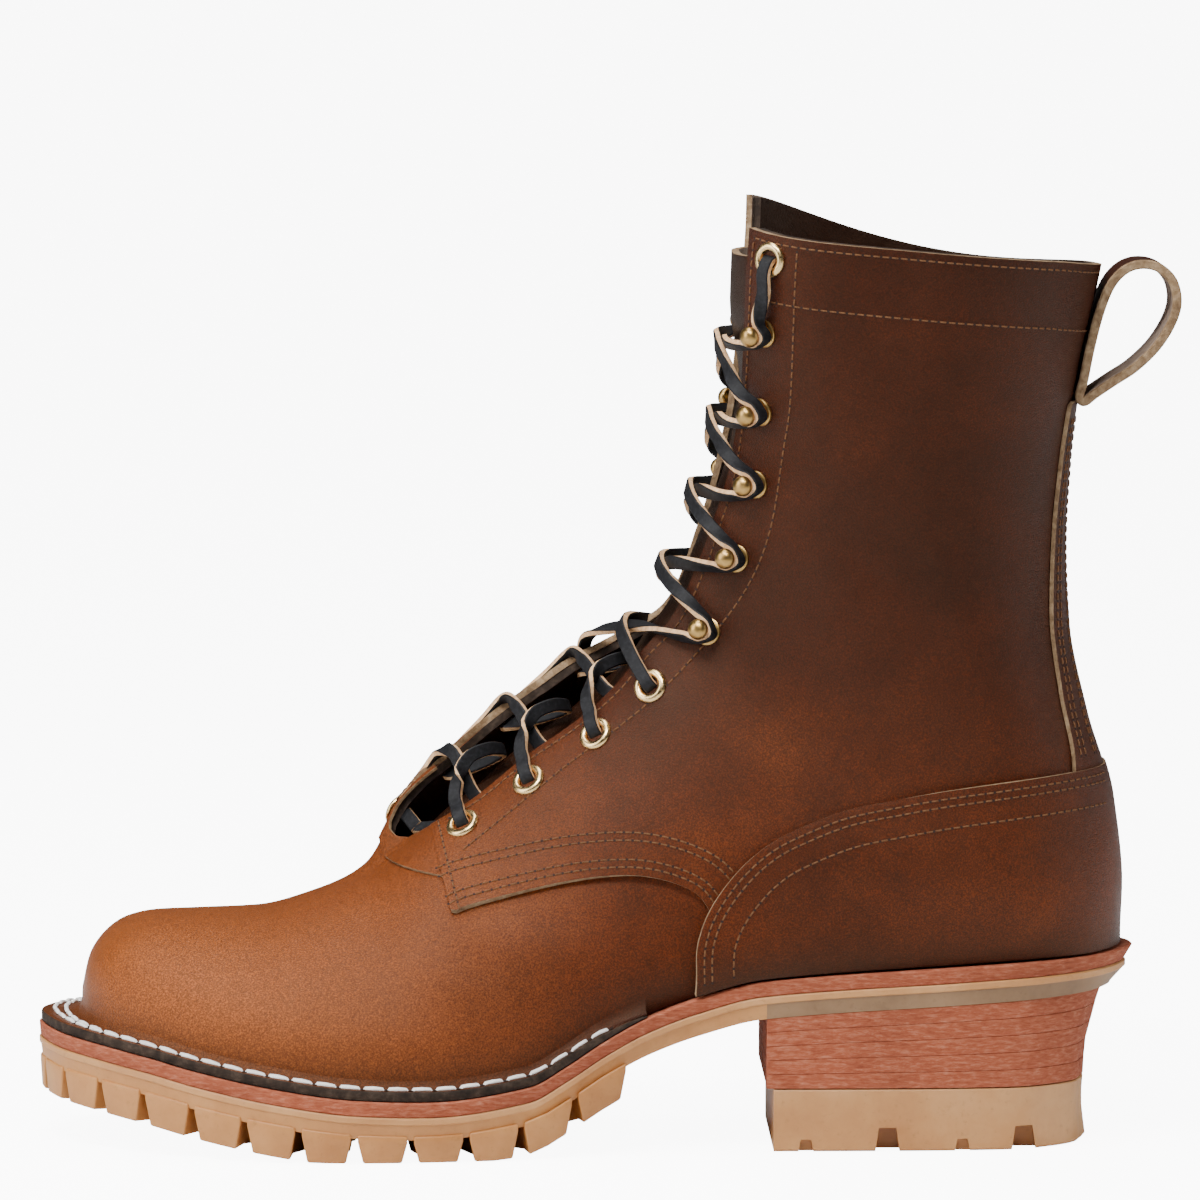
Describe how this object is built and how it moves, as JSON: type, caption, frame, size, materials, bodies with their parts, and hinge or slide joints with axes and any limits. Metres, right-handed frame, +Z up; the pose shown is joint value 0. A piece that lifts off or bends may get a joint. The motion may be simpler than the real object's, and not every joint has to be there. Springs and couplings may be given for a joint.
{
  "type": "logger boot",
  "caption": "Left lace-up leather logger boot with a high stacked block heel, lugged rubber sole, stitched-down flange, speed hooks and a pull loop at the back.",
  "frame": {"origin": "on the floor, in the middle of the heel's contact face", "axes": "-X towards the toe, +Y towards the medial (inner) side, +Z up; the sole rests on the plane z = 0"},
  "size_m": [0.3292, 0.112, 0.2667],
  "materials": {
    "leather_brown": "waxed pull-up leather, soft sheen",
    "leather_raw": "dyed edge, fibrous and matt",
    "leather_insole": "natural, matt",
    "rubber_honey": "matt gum rubber",
    "lace_black": "cut leather, matt",
    "brass": "polished"
  },
  "bodies": {
    "root": {"upper": "leather_brown", "counter": "leather_brown", "backstay": "leather_brown", "pull_loop": "leather_brown", "tongue": "leather_brown", "welt": "leather_brown", "insole": "leather_insole", "midsole": "leather_raw", "outsole": "rubber_honey", "heel_top_lift": "rubber_honey", "heel_lift_1": "leather_raw", "heel_lift_2": "leather_raw", "heel_lift_3": "leather_raw", "heel_lift_4": "leather_raw", "heel_lift_5": "leather_raw", "eyelet_lateral_1": "brass", "eyelet_lateral_2": "brass", "eyelet_lateral_3": "brass", "eyelet_lateral_4": "brass", "eyelet_lateral_5": "brass", "eyelet_medial_1": "brass", "eyelet_medial_2": "brass", "eyelet_medial_3": "brass", "eyelet_medial_4": "brass", "eyelet_medial_5": "brass", "hook_lateral_1": "brass", "hook_lateral_2": "brass", "hook_lateral_3": "brass", "hook_lateral_4": "brass", "hook_lateral_5": "brass", "hook_medial_1": "brass", "hook_medial_2": "brass", "hook_medial_3": "brass", "hook_medial_4": "brass", "hook_medial_5": "brass", "lace_bar": "lace_black", "lace_cross_1": "lace_black", "lace_cross_2": "lace_black", "lace_cross_3": "lace_black", "lace_cross_4": "lace_black", "lace_cross_5": "lace_black", "lace_cross_6": "lace_black", "lace_cross_7": "lace_black", "lace_cross_8": "lace_black", "lace_cross_9": "lace_black"}
  },
  "joints": []
}
